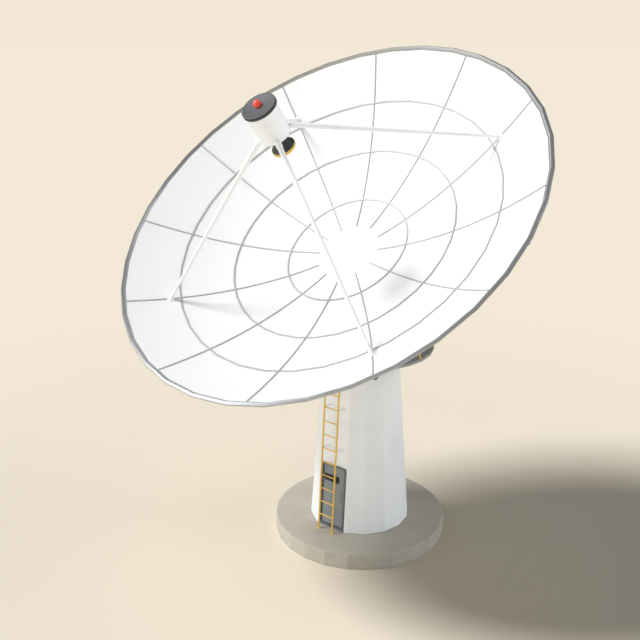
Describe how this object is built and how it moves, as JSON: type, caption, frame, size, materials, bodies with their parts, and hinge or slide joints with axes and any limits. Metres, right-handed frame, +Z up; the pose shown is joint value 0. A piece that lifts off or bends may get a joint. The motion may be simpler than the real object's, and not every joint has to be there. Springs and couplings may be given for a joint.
{
  "type": "radio telescope dish",
  "caption": "Steerable parabolic dish with a receiver at its focus, on a tapered tower with a door, ladder and railed deck.",
  "frame": {"origin": "middle of the foundation slab's underside", "axes": "+Z up; -Y is the front, which the dish, the door and the ladder face; +X is to the right when looking along +Y"},
  "size_m": [12.0146, 9.2806, 14.066],
  "materials": {
    "concrete": "cast concrete, matt",
    "tower_paint": "off-white paint on steel plate",
    "door_grey": "grey paint, satin",
    "frame_grey": "dark grey paint, satin",
    "vent_black": "near-black louvre",
    "safety_yellow": "yellow safety paint, semi-gloss",
    "deck_grey": "grey deck paint, matt",
    "machine_grey": "grey machine enamel",
    "steel_dark": "dark grey enamel",
    "dish_white": "diffuse white reflector paint on aluminium",
    "rim_grey": "mid grey paint",
    "horn_grey": "dark anodised",
    "horn_yellow": "yellow chromate ring",
    "cap_grey": "charcoal paint, matt",
    "beacon_red": "red moulded dome"
  },
  "bodies": {
    "tower": {"foundation_slab": "concrete", "wall_over_door": "tower_paint", "wall_front_right": "tower_paint", "wall_right": "tower_paint", "wall_back_right": "tower_paint", "wall_back": "tower_paint", "wall_back_left": "tower_paint", "wall_left": "tower_paint", "wall_front_left": "tower_paint", "door_frame": "frame_grey", "ladder": "safety_yellow", "platform_deck": "deck_grey", "platform_railing": "safety_yellow", "azimuth_bearing": "machine_grey"},
    "door": {"door_leaf": "door_grey", "door_vent": "vent_black", "door_handle": "frame_grey"},
    "azimuth_head": {"azimuth_turntable": "machine_grey", "azimuth_drive": "steel_dark", "yoke_arm_left": "tower_paint", "yoke_arm_right": "tower_paint", "yoke_cross_beam": "tower_paint", "axle_cover": "steel_dark", "elevation_drive": "steel_dark"},
    "dish": {"elevation_cradle": "machine_grey", "counterweight": "steel_dark", "hub_drum": "machine_grey", "back_frame": "steel_dark", "vertex_plate": "dish_white", "dish_panel_01": "dish_white", "dish_panel_02": "dish_white", "dish_panel_03": "dish_white", "dish_panel_04": "dish_white", "dish_panel_05": "dish_white", "dish_panel_06": "dish_white", "dish_panel_07": "dish_white", "dish_panel_08": "dish_white", "dish_panel_09": "dish_white", "dish_panel_10": "dish_white", "dish_panel_11": "dish_white", "dish_panel_12": "dish_white", "rim_hoop": "rim_grey", "strut_1": "dish_white", "strut_2": "dish_white", "strut_3": "dish_white", "strut_4": "dish_white", "receiver_cabin": "dish_white", "receiver_cap": "cap_grey", "beacon": "beacon_red", "feed_horn": "horn_grey", "horn_ring": "horn_yellow"}
  },
  "joints": [
    {"name": "azimuth", "type": "hinge", "parent": "tower", "child": "azimuth_head", "pos_m": [0, 0, 6.08], "axis": [0, 0, 1], "range_deg": [-270, 270]},
    {"name": "elevation", "type": "hinge", "parent": "azimuth_head", "child": "dish", "pos_m": [0, 0, 7.905], "axis": [-1, 0, 0], "range_deg": [-8, 39.89]},
    {"name": "door_hinge", "type": "hinge", "parent": "tower", "child": "door", "pos_m": [-0.383, -1.30014, 0.47503], "axis": [0, 0.069, 0.9976], "range_deg": [0, 95]}
  ]
}
